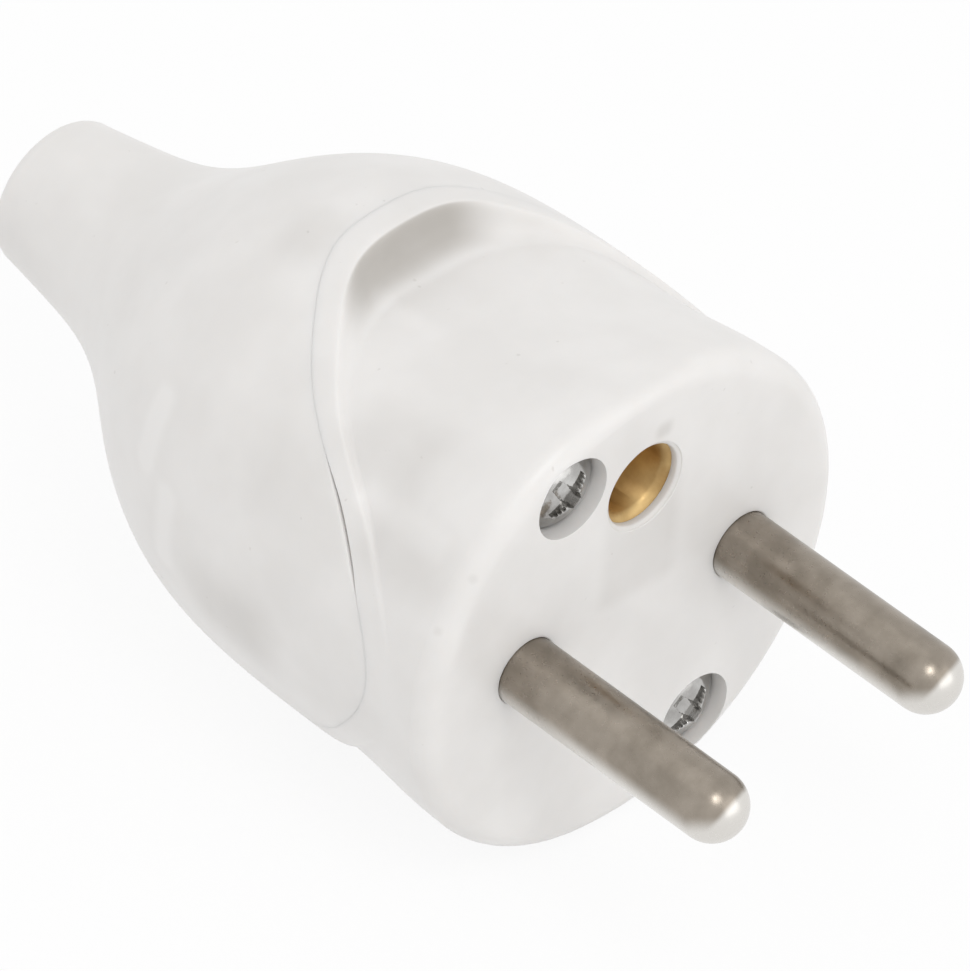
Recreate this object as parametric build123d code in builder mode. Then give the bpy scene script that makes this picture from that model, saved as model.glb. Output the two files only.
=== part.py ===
import os
from math import cos, hypot, radians, sin

from build123d import *

os.makedirs("parts", exist_ok=True)

# Straight two-pin plug with an earth contact and a small lamp inside a milky two-part body.
# The face that meets the socket lies in the plane X = 0 and the pins point along +X.
# Y runs from the live pin to the neutral pin, and Z points up to the earth contact.
# A depth is a distance behind the face, so it is measured along -X.

# Body, from the silhouette
body_length = 54.2
rim_radius = 18.25
rim_rounding = 1.6
barrel_radius = 17.6
shoulder_depth = 22.0
neck_radius = 5.4
neck_rounding = 1.2
shoulder_shape = [(0.233, 0.88), (0.433, 0.61), (0.567, 0.355), (0.70, 0.165), (0.867, 0.055)]
body_wall = 1.8
face_wall = 3.6

# Ridge and parting line: angle round the body from +Y, and depth of the ridge at that angle
ridge_shape = [(90, 22.0), (106, 21.5), (122, 18.3), (136, 14.3), (148, 9.6), (162, 5.7), (180, 3.2)]
band_width = 2.5
lap_length = 2.0
lap_wall = 1.2
lap_gap = 0.12
step_depth = 0.35
step_lead = 1.0
step_margin = 0.1

# Finger recesses above and below
recess_depth = 3.0
recess_wall = 1.5
recess_rounding = 2.2
recess_front_flat = 0.3
recess_middle_rise = 0.526

# Pins
pin_radius = 2.4
pin_length = 19.0
pin_spacing = 19.0
pin_collar_radius = 2.6
pin_collar_sink = 0.15
pin_flange_radius = 4.4
flange_thickness = 1.0
pin_head_size = 6.5
pin_head_length = 9.4
terminal_chamfer = 0.5

# Terminals: wire holes and their screws
wire_hole_radius = 1.5
wire_hole_depth = 7.0
terminal_screw_radius = 1.45
terminal_head_radius = 2.3
terminal_head_height = 1.6
terminal_slot_width = 0.7
terminal_screw_inset = 4.6

# Earth contact and its strap
earth_height = 10.0
earth_bore_radius = 2.45
earth_mouth_radius = 3.0
earth_sleeve_radius = 3.3
earth_sleeve_front = 0.7
earth_sleeve_length = 12.9
earth_slot_width = 0.8
earth_slot_length = 7.0
earth_ring_width = 1.4
earth_ring_wall = 0.35
earth_ring_depth = 10.6
face_hole_chamfer = 0.3
strap_width = 6.6
strap_shift = -0.6
strap_eye_radius = 4.9
tongue_width = 4.4
tongue_height = 1.2
tongue_end_depth = 22.0
earth_block_length = 6.6
earth_block_width = 6.2
earth_block_height = 5.4

# Closing screws, one above and one below, on opposite sides
closing_angle = 117.65
closing_inset = 4.03
closing_head_radius = 2.8
closing_head_height = 1.7
closing_head_side = 0.6
closing_sink = 0.15
closing_shank_radius = 1.4
closing_shank_length = 10.0
closing_point_radius = 0.35
closing_hole_room = 1.0
cross_slot_width = 0.75
cross_slot_length = 3.3
cross_slot_depth = 1.1
cross_slot_taper = 8
cross_slot_turn = 40
post_radius = 2.7
post_end_depth = 30.0

# Inner carrier that holds the pins, the lamp board and the cord clamp
carrier_thickness = 2.0
carrier_margin = 4.2
carrier_top = 5.0
carrier_bottom = -8.4
carrier_corner = 4.2
tray_width = 17.0
tray_top = -5.0
tray_thickness = 2.0
tray_end_depth = 33.4
carrier_screw_z = -2.2
carrier_screw_radius = 1.2
carrier_screw_length = 4.4
carrier_screw_head_radius = 2.4
carrier_screw_head_height = 1.6
carrier_boss_radius = 2.6

# Cord inlet and cord clamp
cord_bore_radius = 3.6
cord_bore_length = 10.0
clamp_depth = 31.0
clamp_width = 4.8
clamp_thickness = 2.4
clamp_rounding = 0.8
clamp_screw_spacing = 12.0
clamp_post_radius = 2.2
clamp_post_top = 2.6
clamp_screw_radius = 1.05
clamp_screw_head_radius = 2.1
clamp_screw_head_height = 1.5
clamp_screw_length = 5.0
saddle_rise = 1.8
saddle_width = 8.7
saddle_height = 3.2
saddle_thickness = 1.0
saddle_spacing = 2.4
saddle_radius = 4.2

# Lamp board
board_length = 10.0
board_width = 10.6
board_thickness = 1.2
board_front_depth = 14.6
rail_width = 0.9
rail_height = 2.2
led_radius = 1.5
led_base_radius = 1.8
led_base_length = 1.0
led_length = 5.2
led_overhang = 4.2
resistor_radius = 1.2
resistor_length = 6.4
diode_radius = 1.35
diode_length = 5.2
component_offset = 3.0
component_cap = 1.2
component_waist = 0.1
component_leg_radius = 0.3
component_leg_reach = 0.9
component_leg_bend = 0.5
lead_radius = 0.55
lead_setback = 0.8
lead_seat_inset = 1.0
lead_bend_share = 0.45

# Clearances, and how far a cutting tool runs past what it cuts
slide_gap = 0.15
fit_gap = 0.05
overrun = 2.0

pin_y = pin_spacing / 2
board_top = tray_top + board_thickness
carrier_front_depth = face_wall + flange_thickness
carrier_back_depth = carrier_front_depth + carrier_thickness
pin_head_end_depth = carrier_front_depth + pin_head_length
seat_depth = closing_head_height + closing_sink
closing_radius = rim_radius - closing_inset


def body_radius(depth):
    """Radius of the barrel at a depth between the rim and the shoulder."""
    share = (depth - rim_rounding) / (shoulder_depth - rim_rounding)
    return rim_radius + share * (barrel_radius - rim_radius)


def body_stations(front_depth=rim_rounding):
    """Points of the outside, as X and radius, from a depth near the rim to the neck's end."""
    middle = (front_depth + shoulder_depth) / 2
    points = [(-depth, body_radius(depth)) for depth in (front_depth, middle, shoulder_depth)]
    run = body_length - neck_rounding - shoulder_depth
    rise = barrel_radius - neck_radius
    for along, share in shoulder_shape:
        points.append((-shoulder_depth - along * run, neck_radius + share * rise))
    points.append((-shoulder_depth - run, neck_radius))
    return points


def inset(points, amount):
    """The same points, each moved inwards, square to the line through its neighbours."""
    moved = [(points[0][0], points[0][1] - amount)]
    for index, (x, r) in enumerate(points[1:], 1):
        before = points[index - 1]
        after = points[min(index + 1, len(points) - 1)]
        run, rise = after[0] - before[0], after[1] - before[1]
        size = hypot(run, rise)
        moved.append((x - amount * rise / size, r + amount * run / size))
    return moved


def ridge_points(shift):
    """X, Y and Z of the ridge's points on the left side above, each moved back by shift."""
    points = []
    for angle, depth in ridge_shape:
        radius = body_radius(min(depth, shoulder_depth))
        turn = radians(angle)
        points.append((-depth - shift, radius * cos(turn), radius * sin(turn)))
    return points


def front_region(shift):
    """Everything in front of the ridge moved back by shift, cut straight across along Y."""
    upper = [(x, z) for x, _, z in ridge_points(shift)]
    lower = [(x, -z) for x, z in reversed(upper[:-1])]
    with BuildPart() as region:
        with BuildSketch(Plane.XZ):
            with BuildLine():
                curve = Spline(*upper, *lower)
                top = (curve @ 0) - (curve % 0) * overrun
                bottom = (curve @ 1) + (curve % 1) * overrun
                outer = max(rim_radius, top.Y) + overrun
                Polyline(
                    curve @ 0, top, (top.X, outer), (overrun, outer),
                    (overrun, -outer), (bottom.X, -outer), bottom, curve @ 1,
                )
            make_face()
        extrude(amount=outer, both=True)
    return region.part


def front_prism(shift):
    """Upper half of everything in front of the ridge moved back by shift, cut straight down."""
    left = [(x, y) for x, y, _ in reversed(ridge_points(shift))]
    right = [(x, -y) for x, y in reversed(left[:-1])]
    outer = max(rim_radius, barrel_radius) + overrun
    with BuildPart() as prism:
        with BuildSketch(Plane.XY):
            with BuildLine():
                plan = Spline(*left, *right)
                Polyline(
                    plan @ 0, ((plan @ 0).X, -outer), (overrun, -outer),
                    (overrun, outer), ((plan @ 1).X, outer), plan @ 1,
                )
            make_face()
        extrude(amount=outer)
    return prism.part


def above_floor(drop):
    """Everything above the floor of the upper finger recess, with the floor lowered by drop."""
    lip_depth = ridge_shape[0][1]
    deep = body_radius(lip_depth) - recess_depth - drop
    shallow = rim_radius - recess_front_flat - drop
    middle = deep + recess_middle_rise * (shallow - deep)
    outer = max(rim_radius, barrel_radius) + overrun
    with BuildPart() as region:
        with BuildSketch(Plane.XZ):
            with BuildLine():
                floor = Spline(
                    (overrun, shallow), (-lip_depth / 2, middle), (-lip_depth, deep),
                    (-lip_depth - overrun, deep),
                )
                Polyline(floor @ 1, ((floor @ 1).X, outer), (overrun, outer), floor @ 0)
            make_face()
        extrude(amount=outer, both=True)
    return region.part


def recess_room(wall):
    """The upper finger recess with a wall round it."""
    with BuildPart() as room:
        add(front_prism(wall))
        add(above_floor(wall), mode=Mode.INTERSECT)
    return room.part


def round_body(points):
    """Solid of revolution about X under a spline, closed by a flat front and a flat back."""
    with BuildPart() as turned:
        with BuildSketch(Plane.XZ):
            with BuildLine():
                Spline(*points)
                Polyline(points[-1], (points[-1][0], 0), (points[0][0], 0), points[0])
            make_face()
        revolve(axis=Axis.X)
    return turned.part


def at_post(side):
    """Centre of a closing screw and its post, in the plane of the face."""
    turn = radians(closing_angle)
    return side * closing_radius * cos(turn), side * closing_radius * sin(turn)


def both_sides(tool):
    """A tool for the upper side together with its copy for the lower side."""
    with BuildPart() as pair:
        add(tool)
        mirror(about=Plane.XY)
    return pair.part


def post_cylinders(radius):
    """Two cylinders behind the face, round the closing screws."""
    with BuildPart() as cylinders:
        with BuildSketch(Plane.YZ.offset(-face_wall)):
            with Locations(at_post(1), at_post(-1)):
                Circle(radius)
        extrude(amount=-(post_end_depth - face_wall))
    return cylinders.part


# Outside of the whole body: rounded rim, slow taper, shoulder and neck
with BuildPart() as outside:
    with BuildSketch(Plane.XZ):
        with BuildLine():
            rim = TangentArc(
                (0, rim_radius - rim_rounding), (-rim_rounding, rim_radius), tangent=(0, 1)
            )
            flank = Spline(*body_stations(), tangents=[(-1, 0), (-1, -0.12)])
            neck_end = TangentArc(
                flank @ 1, (-body_length, neck_radius - neck_rounding), tangent=flank % 1
            )
            Polyline(neck_end @ 1, (-body_length, 0), (0, 0), rim @ 0)
        make_face()
    revolve(axis=Axis.X)

parting_front = front_region(band_width)
lap_front = front_region(band_width + lap_length)

# Rear cover: a hood with the neck on it, two long ears at the sides and two screw posts inside
hood_hollow_points = inset(body_stations(-overrun), body_wall)[:-3]
with BuildPart() as hood_hollow:
    with BuildSketch(Plane.XZ):
        with BuildLine():
            inner_flank = Spline(
                *hood_hollow_points,
                (-body_length + cord_bore_length, cord_bore_radius),
                tangents=[(-1, 0), (-1, 0)],
            )
            Polyline(
                inner_flank @ 1,
                (-body_length - overrun, cord_bore_radius),
                (-body_length - overrun, 0),
                (inner_flank.position_at(0).X, 0),
                inner_flank @ 0,
            )
        make_face()
    revolve(axis=Axis.X)

# The posts pass inside the skirt of the base and below its recesses, and end in the shoulder
skirt_outside = round_body(inset(body_stations(face_wall / 2), body_wall + lap_gap)[:5])
with BuildPart() as skirt_space:
    add(lap_front)
    add(skirt_outside, mode=Mode.SUBTRACT)

with BuildPart() as posts:
    add(post_cylinders(post_radius))
    add(round_body(inset(body_stations(-overrun), body_wall / 2)), mode=Mode.INTERSECT)
    add(skirt_space.part, mode=Mode.SUBTRACT)

with BuildPart() as rear_cover:
    add(outside.part)
    add(hood_hollow.part, mode=Mode.SUBTRACT)
    add(parting_front, mode=Mode.SUBTRACT)
    add(posts.part)
    add(both_sides(recess_room(recess_wall + slide_gap)), mode=Mode.SUBTRACT)
    for side in (1, -1):
        with BuildSketch(Plane.YZ.offset(-face_wall)):
            with Locations(at_post(side)):
                Circle(closing_shank_radius + fit_gap)
        extrude(amount=-(closing_shank_length + closing_hole_room), mode=Mode.SUBTRACT)
rear_cover.part.label = "rear_cover"

# Front base: the face with its holes, and a skirt that laps inside the hood
with BuildPart() as skirt:
    add(skirt_outside)
    add(lap_front, mode=Mode.INTERSECT)

recess_core = both_sides(recess_room(recess_wall))
with BuildPart() as base_hollow:
    add(round_body(inset(body_stations(face_wall), body_wall + lap_gap + lap_wall)[:5]))
    add(recess_core, mode=Mode.SUBTRACT)

# Room in the skirt for the two posts of the hood
with BuildPart() as post_room:
    add(post_cylinders(post_radius + slide_gap))
    add(hood_hollow.part, mode=Mode.INTERSECT)
    add(recess_core, mode=Mode.SUBTRACT)

# The flanks in front of the ridge lie a little lower than the band behind it
step_points = [
    (step_lead, rim_radius + step_lead),
    (-rim_rounding - step_lead, rim_radius + step_margin),
    (-shoulder_depth / 2, body_radius(shoulder_depth / 2) - step_depth),
    (-shoulder_depth - overrun, barrel_radius - step_depth),
]
with BuildPart() as recess_cut:
    add(front_prism(0))
    add(round_body(step_points), mode=Mode.SUBTRACT)
with BuildPart() as recess_floor_cut:
    add(front_prism(0))
    add(above_floor(0), mode=Mode.INTERSECT)
    back_wall = recess_floor_cut.faces().filter_by(Axis.Y, reverse=True).sort_by(Axis.X)[0]
    fillet(back_wall.edges().sort_by(Axis.Z)[0], recess_rounding)
with BuildPart() as flank_cut:
    add(recess_cut.part)
    add(recess_floor_cut.part)

# The walls of the recesses belong to the base, also where they pass under the hood
with BuildPart() as recess_walls:
    add(recess_core)
    add(outside.part, mode=Mode.INTERSECT)

with BuildPart() as front_base:
    add(outside.part)
    add(parting_front, mode=Mode.INTERSECT)
    add(recess_walls.part)
    add(skirt.part)
    add(base_hollow.part, mode=Mode.SUBTRACT)
    add(both_sides(flank_cut.part), mode=Mode.SUBTRACT)
    add(post_room.part, mode=Mode.SUBTRACT)
    with BuildSketch(Plane.YZ.offset(-face_wall)):
        with Locations((0, carrier_screw_z)):
            Circle(carrier_boss_radius)
    extrude(amount=-flange_thickness)
    with BuildSketch(Plane.YZ):
        with Locations((-pin_y, 0), (pin_y, 0)):
            Circle(pin_radius + fit_gap)
        with Locations((0, earth_height)):
            Circle(earth_mouth_radius)
        with Locations(at_post(1), at_post(-1)):
            Circle(closing_shank_radius + slide_gap)
    extrude(amount=-face_wall, mode=Mode.SUBTRACT)
    with BuildSketch(Plane.YZ.offset(-pin_collar_sink)):
        with Locations((-pin_y, 0), (pin_y, 0)):
            Circle(pin_collar_radius + fit_gap)
    extrude(amount=-(face_wall - pin_collar_sink), mode=Mode.SUBTRACT)
    with BuildSketch(Plane.YZ.offset(-earth_sleeve_front)):
        with Locations((0, earth_height)):
            Circle(earth_sleeve_radius + fit_gap)
    extrude(amount=-(face_wall - earth_sleeve_front), mode=Mode.SUBTRACT)
    with BuildSketch(Plane.YZ):
        with Locations(at_post(1), at_post(-1)):
            Circle(closing_head_radius + slide_gap)
    extrude(amount=-seat_depth, mode=Mode.SUBTRACT)
    with BuildSketch(Plane.YZ.offset(-carrier_front_depth)):
        with Locations((0, carrier_screw_z)):
            Circle(carrier_screw_radius + fit_gap)
    extrude(amount=flange_thickness + face_wall / 2, mode=Mode.SUBTRACT)
    earth_edge = (
        front_base.edges()
        .filter_by(GeomType.CIRCLE)
        .filter_by(lambda edge: abs(edge.radius - earth_mouth_radius) < 1e-4)
        .sort_by(Axis.X)[-1]
    )
    chamfer(earth_edge, face_hole_chamfer)
front_base.part.label = "front_base"


def slotted_screw(head_radius, head_height, shank_radius, shank_length, slot_width):
    """Cheese-head screw standing on Z = 0 with its shank below and a slot across its head."""
    with BuildPart() as screw:
        Cylinder(head_radius, head_height, align=(Align.CENTER, Align.CENTER, Align.MIN))
        chamfer(screw.edges().group_by(Axis.Z)[-1], head_height / 6)
        Cylinder(shank_radius, shank_length, align=(Align.CENTER, Align.CENTER, Align.MAX))
        chamfer(screw.edges().group_by(Axis.Z)[0], shank_radius / 4)
        with BuildSketch(Plane.XY.offset(head_height)):
            Rectangle(2 * head_radius + overrun, slot_width)
        extrude(amount=-head_height / 2, mode=Mode.SUBTRACT)
    return screw.part


# Closing screw along X: pan head in front of X = 0, shank behind it, cross slot in its top
with BuildPart() as closing_screw:
    with BuildSketch(Plane.XZ):
        with BuildLine():
            dome = TangentArc(
                (closing_head_height, 0), (closing_head_side, closing_head_radius), tangent=(0, 1)
            )
            Polyline(
                dome @ 1,
                (0, closing_head_radius),
                (0, closing_shank_radius),
                (-closing_shank_length + closing_shank_radius, closing_shank_radius),
                (-closing_shank_length, closing_point_radius),
                (-closing_shank_length, 0),
                dome @ 0,
            )
        make_face()
    revolve(axis=Axis.X)
    with BuildSketch(Plane.YZ.offset(closing_head_height)):
        Rectangle(cross_slot_width, cross_slot_length, rotation=cross_slot_turn)
        Rectangle(cross_slot_length, cross_slot_width, rotation=cross_slot_turn)
    extrude(amount=-cross_slot_depth, taper=cross_slot_taper, mode=Mode.SUBTRACT)

closing_screws = {}
for name, side in (("upper", 1), ("lower", -1)):
    y, z = at_post(side)
    with BuildPart() as placed:
        add(Pos(-seat_depth, y, z) * closing_screw.part)
    closing_screws[name] = placed.part
    placed.part.label = f"closing_screw_{name}"

# Pins: solid, each with a collar in the face, a flange behind it and a square terminal head
pins = {}
for name, y in (("live", -pin_y), ("neutral", pin_y)):
    with BuildPart() as pin:
        with BuildSketch(Plane.XY):
            with BuildLine():
                tip = TangentArc(
                    (pin_length - pin_radius, y + pin_radius), (pin_length, y), tangent=(1, 0)
                )
                Polyline(
                    tip @ 1,
                    (-carrier_front_depth, y),
                    (-carrier_front_depth, y + pin_flange_radius),
                    (-face_wall, y + pin_flange_radius),
                    (-face_wall, y + pin_collar_radius),
                    (-pin_collar_sink, y + pin_collar_radius),
                    (-pin_collar_sink, y + pin_radius),
                    tip @ 0,
                )
            make_face()
        revolve(axis=Axis((0, y, 0), (1, 0, 0)))
        with BuildSketch(Plane.YZ.offset(-carrier_front_depth)):
            with Locations((y, 0)):
                Rectangle(pin_head_size, pin_head_size)
        extrude(amount=-pin_head_length)
        chamfer(pin.faces().sort_by(Axis.X)[0].edges(), terminal_chamfer)
        with BuildSketch(Plane.YZ.offset(-pin_head_end_depth)):
            with Locations((y, 0)):
                Circle(wire_hole_radius)
        extrude(amount=wire_hole_depth, mode=Mode.SUBTRACT)
        with BuildSketch(Plane.XY.offset(pin_head_size / 2)):
            with Locations((-pin_head_end_depth + terminal_screw_inset, y)):
                Circle(terminal_screw_radius + fit_gap)
        extrude(amount=-pin_head_size / 2, mode=Mode.SUBTRACT)
    pin.part.label = f"{name}_pin"
    pins[name] = pin.part

# Earth contact: split sleeve with a shoulder behind the strap, and a spring ring round it
earth_back = earth_sleeve_front + earth_sleeve_length
with BuildPart() as earth_sleeve:
    with BuildSketch(Plane.XZ):
        with BuildLine():
            Polyline(
                (-earth_sleeve_front, earth_height + earth_mouth_radius),
                (-earth_sleeve_front, earth_height + earth_sleeve_radius),
                (-carrier_front_depth, earth_height + earth_sleeve_radius),
                (-carrier_front_depth, earth_height + earth_sleeve_radius + flange_thickness),
                (-carrier_front_depth - flange_thickness,
                 earth_height + earth_sleeve_radius + flange_thickness),
                (-carrier_front_depth - flange_thickness, earth_height + earth_sleeve_radius),
                (-earth_back, earth_height + earth_sleeve_radius),
                (-earth_back, earth_height + earth_bore_radius),
                (-earth_sleeve_front - earth_mouth_radius + earth_bore_radius,
                 earth_height + earth_bore_radius),
                (-earth_sleeve_front, earth_height + earth_mouth_radius),
            )
        make_face()
    revolve(axis=Axis((0, 0, earth_height), (1, 0, 0)))
    with BuildSketch(Plane.YZ.offset(-earth_back)):
        with Locations((0, earth_height)):
            Rectangle(earth_slot_width, 2 * earth_sleeve_radius + overrun)
    extrude(amount=earth_slot_length, mode=Mode.SUBTRACT)
earth_sleeve.part.label = "earth_sleeve"

with BuildPart() as earth_ring:
    with BuildSketch(Plane.YZ.offset(-earth_ring_depth)):
        with Locations((0, earth_height)):
            Circle(earth_sleeve_radius + earth_ring_wall)
            Circle(earth_sleeve_radius, mode=Mode.SUBTRACT)
        with Locations((earth_sleeve_radius, earth_height)):
            Rectangle(2 * earth_ring_wall + overrun, earth_slot_width, mode=Mode.SUBTRACT)
    extrude(amount=-earth_ring_width)
earth_ring.part.label = "earth_spring_ring"

# Earth strap: an eye round the sleeve, a flat leg down the back of the face and a tongue
with BuildPart() as earth_strap:
    with BuildSketch(Plane.YZ.offset(-face_wall)):
        with Locations((0, earth_height)):
            Circle(strap_eye_radius)
        with Locations((strap_shift, tongue_height)):
            Rectangle(strap_width, earth_height - tongue_height, align=(Align.CENTER, Align.MIN))
        with Locations((0, earth_height)):
            Circle(earth_sleeve_radius, mode=Mode.SUBTRACT)
        with Locations(at_post(1)):
            Circle(post_radius + 2 * slide_gap, mode=Mode.SUBTRACT)
    extrude(amount=-flange_thickness)
    with BuildSketch(Plane.XY.offset(tongue_height)):
        with Locations((-face_wall, 0)):
            Rectangle(tongue_end_depth - face_wall, tongue_width, align=(Align.MAX, Align.CENTER))
    extrude(amount=flange_thickness)
earth_strap.part.label = "earth_strap"

tongue_top = tongue_height + flange_thickness
block_z = tongue_top + earth_block_height / 2
block_x = -tongue_end_depth + earth_block_length / 2
with BuildPart() as earth_block:
    with Locations((block_x, 0, block_z)):
        Box(earth_block_length, earth_block_width, earth_block_height)
    chamfer(earth_block.edges().filter_by(Axis.Z), terminal_chamfer)
    with BuildSketch(Plane.YZ.offset(-tongue_end_depth)):
        with Locations((0, block_z)):
            Circle(wire_hole_radius)
    extrude(amount=earth_block_length, mode=Mode.SUBTRACT)
    with BuildSketch(Plane.XY.offset(tongue_top + earth_block_height)):
        with Locations((block_x, 0)):
            Circle(terminal_screw_radius + fit_gap)
    extrude(amount=-earth_block_height / 2, mode=Mode.SUBTRACT)
earth_block.part.label = "earth_terminal_block"

terminal_screws = {}
for name, x, y, top, reach in (
    ("live", -pin_head_end_depth + terminal_screw_inset, -pin_y, pin_head_size / 2, pin_head_size),
    ("neutral", -pin_head_end_depth + terminal_screw_inset, pin_y, pin_head_size / 2, pin_head_size),
    ("earth", block_x, 0, tongue_top + earth_block_height, earth_block_height),
):
    screw = slotted_screw(
        terminal_head_radius, terminal_head_height, terminal_screw_radius,
        reach / 2 - wire_hole_radius / 4, terminal_slot_width,
    )
    with BuildPart() as placed:
        add(Pos(x, y, top) * screw)
    placed.part.label = f"{name}_terminal_screw"
    terminal_screws[name] = placed.part

# Carrier: plate across the pin flanges, tray towards the cord, clamp posts and a ribbed saddle
with BuildPart() as carrier:
    with BuildSketch(Plane.YZ.offset(-carrier_front_depth)):
        with Locations((0, (carrier_top + carrier_bottom) / 2)):
            RectangleRounded(
                pin_spacing + 2 * carrier_margin, carrier_top - carrier_bottom, carrier_corner
            )
        with Locations((-pin_y, 0), (pin_y, 0)):
            Rectangle(pin_head_size + 2 * slide_gap, pin_head_size + 2 * slide_gap, mode=Mode.SUBTRACT)
        with Locations((0, tongue_height - slide_gap)):
            Rectangle(
                tongue_width + 2 * slide_gap, carrier_top,
                align=(Align.CENTER, Align.MIN), mode=Mode.SUBTRACT,
            )
        with Locations((0, carrier_screw_z)):
            Circle(carrier_screw_radius + slide_gap, mode=Mode.SUBTRACT)
    extrude(amount=-carrier_thickness)
    with BuildSketch(Plane.XY.offset(tray_top)):
        with Locations((-carrier_front_depth, 0)):
            Rectangle(tray_end_depth - carrier_front_depth, tray_width, align=(Align.MAX, Align.CENTER))
    extrude(amount=-tray_thickness)
    fillet(carrier.edges().filter_by(Axis.Z).group_by(Axis.X)[0], clamp_post_radius)
    with BuildSketch(Plane.XY.offset(tray_top)):
        with Locations((-clamp_depth, -clamp_screw_spacing / 2), (-clamp_depth, clamp_screw_spacing / 2)):
            Circle(clamp_post_radius)
    extrude(amount=clamp_post_top - tray_top)
    with BuildSketch(Plane.XY.offset(tray_top)):
        for y in (-1, 1):
            with Locations((-board_front_depth, y * (board_width + rail_width + 2 * fit_gap) / 2)):
                Rectangle(board_length, rail_width, align=(Align.MAX, Align.CENTER))
    extrude(amount=rail_height)
    for offset in (-saddle_spacing / 2, saddle_spacing / 2):
        with BuildSketch(Plane.YZ.offset(-clamp_depth + offset)):
            with Locations((0, tray_top)):
                Rectangle(saddle_width, saddle_height, align=(Align.CENTER, Align.MIN))
            with Locations((0, tray_top + saddle_rise + saddle_radius)):
                Circle(saddle_radius, mode=Mode.SUBTRACT)
        extrude(amount=saddle_thickness / 2, both=True)
    with BuildSketch(Plane.XY.offset(clamp_post_top)):
        with Locations((-clamp_depth, -clamp_screw_spacing / 2), (-clamp_depth, clamp_screw_spacing / 2)):
            Circle(clamp_screw_radius + fit_gap)
    extrude(amount=-clamp_screw_length, mode=Mode.SUBTRACT)
carrier.part.label = "contact_carrier"

carrier_screw_plane = Plane((-carrier_back_depth, 0, carrier_screw_z), z_dir=(-1, 0, 0))
with BuildPart() as carrier_screw:
    add(
        carrier_screw_plane.location
        * slotted_screw(
            carrier_screw_head_radius, carrier_screw_head_height, carrier_screw_radius,
            carrier_screw_length, terminal_slot_width,
        )
    )
carrier_screw.part.label = "carrier_screw"

# Cord clamp: arched bar across two posts, with a screw at each end
bar_end = clamp_screw_spacing / 2 + clamp_post_radius
with BuildPart() as clamp_bar:
    with BuildSketch(Plane.XY.offset(clamp_post_top)):
        with Locations((-clamp_depth, 0)):
            Rectangle(clamp_width, 2 * bar_end)
    extrude(amount=clamp_thickness)
    fillet(clamp_bar.edges().filter_by(Axis.Z), clamp_post_radius / 2)
    fillet(clamp_bar.faces().sort_by(Axis.Z)[-1].edges(), clamp_rounding)
    with BuildSketch(Plane.YZ.offset(-clamp_depth)):
        with Locations((0, clamp_post_top - saddle_radius + clamp_thickness / 3)):
            Circle(saddle_radius)
    extrude(amount=clamp_width, both=True, mode=Mode.SUBTRACT)
    with BuildSketch(Plane.XY.offset(clamp_post_top)):
        with Locations((-clamp_depth, -clamp_screw_spacing / 2), (-clamp_depth, clamp_screw_spacing / 2)):
            Circle(clamp_screw_radius + slide_gap)
    extrude(amount=clamp_thickness, mode=Mode.SUBTRACT)
clamp_bar.part.label = "cord_clamp_bar"

clamp_screws = {}
for name, y in (("left", -clamp_screw_spacing / 2), ("right", clamp_screw_spacing / 2)):
    with BuildPart() as placed:
        add(
            Pos(-clamp_depth, y, clamp_post_top + clamp_thickness)
            * slotted_screw(
                clamp_screw_head_radius, clamp_screw_head_height, clamp_screw_radius,
                clamp_thickness + clamp_screw_length - 2 * slide_gap, terminal_slot_width,
            )
        )
    placed.part.label = f"cord_clamp_screw_{name}"
    clamp_screws[name] = placed.part

# Lamp board on the tray, between two rails
board_centre = -board_front_depth - board_length / 2
board_rear = -board_front_depth - board_length
with BuildPart() as lamp_board:
    with Locations((board_centre, 0, tray_top)):
        Box(board_length, board_width, board_thickness, align=(Align.CENTER, Align.CENTER, Align.MIN))
lamp_board.part.label = "lamp_board"

# Lamp, lying on the board with its dome towards the neck
led_z = board_top + led_base_radius
led_front = board_rear - led_overhang + led_length
with BuildPart() as led:
    with BuildSketch(Plane.XZ):
        with BuildLine():
            dome = TangentArc(
                (led_front - led_length + led_radius, led_z + led_radius),
                (led_front - led_length, led_z),
                tangent=(-1, 0),
            )
            Polyline(
                dome @ 1,
                (led_front, led_z),
                (led_front, led_z + led_base_radius),
                (led_front - led_base_length, led_z + led_base_radius),
                (led_front - led_base_length, led_z + led_radius),
                dome @ 0,
            )
        make_face()
    revolve(axis=Axis((0, 0, led_z), (1, 0, 0)))
led.part.label = "indicator_led"


def leaded_component(length, radius, y):
    """Small barrel lying along X on the board, with two legs bent down onto the board."""
    z = board_top + radius + fit_gap
    waist_end, waist_radius = length / 2 - component_cap, radius - component_waist
    leg_x = length / 2 + component_leg_reach
    with BuildPart() as component:
        with BuildSketch(Plane.XZ):
            with BuildLine():
                Polyline(
                    (length / 2, 0), (length / 2, radius), (waist_end, radius),
                    (waist_end, waist_radius), (-waist_end, waist_radius),
                    (-waist_end, radius), (-length / 2, radius), (-length / 2, 0),
                    (length / 2, 0),
                )
            make_face()
        revolve(axis=Axis.X)
        for end in (-1, 1):
            with BuildLine(mode=Mode.PRIVATE) as leg:
                FilletPolyline(
                    (end * waist_end, 0, 0), (end * leg_x, 0, 0), (end * leg_x, 0, board_top - z),
                    radius=component_leg_bend,
                )
            with BuildSketch(Plane(leg.line @ 0, z_dir=leg.line % 0)):
                Circle(component_leg_radius)
            sweep(path=leg.line)
    return Pos(board_centre, y, z) * component.part


with BuildPart() as resistor:
    add(leaded_component(resistor_length, resistor_radius, -component_offset))
resistor.part.label = "dropper_resistor"
with BuildPart() as diode:
    add(leaded_component(diode_length, diode_radius, component_offset))
diode.part.label = "rectifier_diode"

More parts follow.
